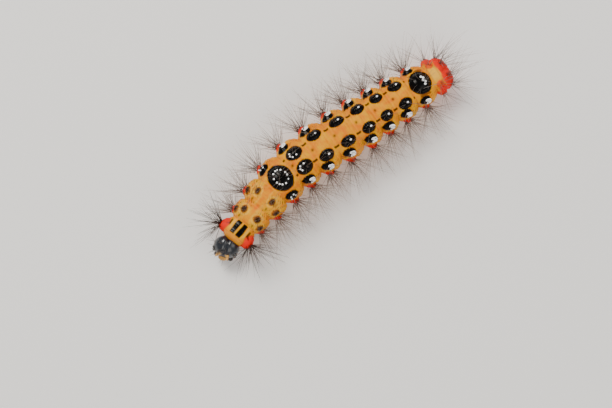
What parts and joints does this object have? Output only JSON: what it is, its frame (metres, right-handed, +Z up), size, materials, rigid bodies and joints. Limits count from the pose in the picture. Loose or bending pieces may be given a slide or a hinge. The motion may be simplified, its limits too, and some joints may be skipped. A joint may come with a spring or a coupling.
{
  "type": "hairy moth larva",
  "caption": "Still life-size model of a hairy orange moth larva with black back warts and red side tufts, in a gentle curve, standing on its legs.",
  "frame": {"origin": "middle of the bounding box seen from above, on the floor", "axes": "+Y runs from the head to the tail, +X is the larva's left side, +Z is up"},
  "size_m": [0.016, 0.0378, 0.008],
  "materials": {
    "abdomen_skin": "soft satin skin, vivid orange yellow",
    "thorax_skin": "soft satin skin, duller orange",
    "red_wart": "soft red wart with bundles of hairs",
    "black_wart": "shining black wart",
    "head_shell": "glossy black horn",
    "mouth_and_feelers": "pale yellow-brown",
    "leg_horn": "dark brown horn"
  },
  "bodies": {
    "root": {"abdomen_1": "abdomen_skin", "abdomen_10": "red_wart", "abdomen_2": "abdomen_skin", "abdomen_3": "abdomen_skin", "abdomen_4": "abdomen_skin", "abdomen_5": "abdomen_skin", "abdomen_6": "abdomen_skin", "abdomen_7": "abdomen_skin", "abdomen_8": "abdomen_skin", "abdomen_9": "abdomen_skin", "antenna_left": "mouth_and_feelers", "antenna_right": "mouth_and_feelers", "back_wart_1": "black_wart", "back_wart_2_left": "black_wart", "back_wart_2_right": "black_wart", "back_wart_3_left": "black_wart", "back_wart_3_right": "black_wart", "back_wart_4_left": "black_wart", "back_wart_4_right": "black_wart", "back_wart_5_left": "black_wart", "back_wart_5_right": "black_wart", "back_wart_6_left": "black_wart", "back_wart_6_right": "black_wart", "back_wart_7_left": "black_wart", "back_wart_7_right": "black_wart", "back_wart_8": "black_wart", "head": "head_shell", "labrum": "mouth_and_feelers", "leg_1_left": "leg_horn", "leg_1_right": "leg_horn", "leg_2_left": "leg_horn", "leg_2_right": "leg_horn", "leg_3_left": "leg_horn", "leg_3_right": "leg_horn", "mandible_left": "leg_horn", "mandible_right": "leg_horn", "proleg_10_left": "abdomen_skin", "proleg_10_right": "abdomen_skin", "proleg_3_left": "abdomen_skin", "proleg_3_right": "abdomen_skin", "proleg_4_left": "abdomen_skin", "proleg_4_right": "abdomen_skin", "proleg_5_left": "abdomen_skin", "proleg_5_right": "abdomen_skin", "proleg_6_left": "abdomen_skin", "proleg_6_right": "abdomen_skin", "shoulder_wart_left": "red_wart", "shoulder_wart_right": "red_wart", "stemmata_left": "black_wart", "stemmata_right": "black_wart", "thorax_1": "thorax_skin", "thorax_2": "thorax_skin", "thorax_3": "thorax_skin"}
  },
  "joints": []
}
